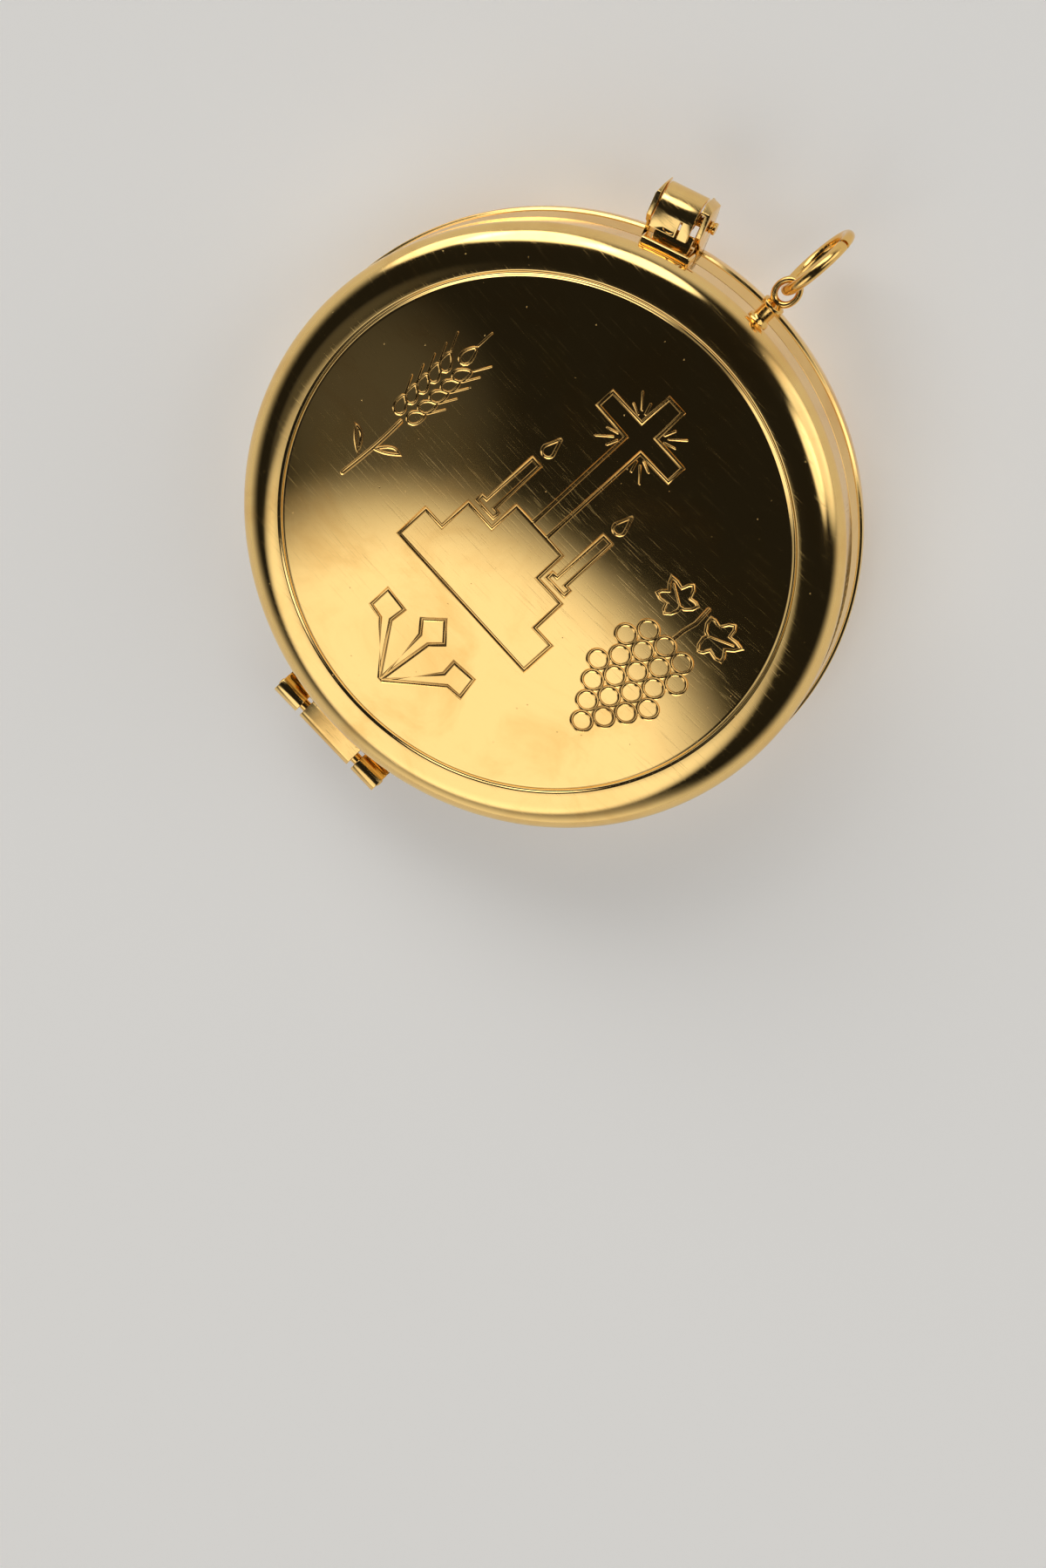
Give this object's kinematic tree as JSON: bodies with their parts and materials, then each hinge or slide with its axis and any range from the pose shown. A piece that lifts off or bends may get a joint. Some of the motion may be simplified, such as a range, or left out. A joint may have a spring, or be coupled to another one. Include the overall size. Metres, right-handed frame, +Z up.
{
  "type": "pyx",
  "caption": "Small round gilt box with a hinged domed lid, a sprung side clasp and a carrying ring, for altar breads.",
  "frame": {"origin": "centre of the flat bottom, on the axis of the round case", "axes": "+Z up out of the lid, +Y towards the carrying ring, the hinge on -Y"},
  "size_m": [0.054, 0.0678, 0.0146],
  "materials": {
    "gilt_polished": "mirror polished gilding",
    "gilt_satin": "satin gilding",
    "gilt_wire": "drawn and polished wire",
    "spring_wire": "hard drawn gilt spring wire"
  },
  "bodies": {
    "case": {"base_shell": "gilt_polished", "base_rim_ring": "gilt_satin", "base_hinge_leaf": "gilt_polished", "hinge_pin": "gilt_satin", "clasp_bracket": "gilt_polished", "clasp_pin": "gilt_wire", "clasp_spring": "spring_wire"},
    "lid": {"lid_shell": "gilt_polished", "lid_hinge_leaf": "gilt_polished", "strike_plate": "gilt_polished", "ring_eyelet": "gilt_wire"},
    "clasp": {"clasp_lever": "gilt_polished"},
    "ring": {"bail_ring": "gilt_wire"}
  },
  "joints": [
    {"name": "lid_hinge", "type": "hinge", "parent": "case", "child": "lid", "pos_m": [0, -0.02905, 0.0071], "axis": [1, 0, 0], "range_deg": [0, 165]},
    {"name": "clasp_pivot", "type": "hinge", "parent": "case", "child": "clasp", "pos_m": [-0.01077, 0.02805, 0.00685], "axis": [-0.9336, -0.3584, 0], "range_deg": [0, 28], "stiffness_Nm_per_rad": 0.003, "springref_deg": -22.92},
    {"name": "ring_swing", "type": "hinge", "parent": "lid", "child": "ring", "pos_m": [0, 0.03173, 0.00865], "axis": [1, 0, 0], "range_deg": [-10, 84]}
  ]
}
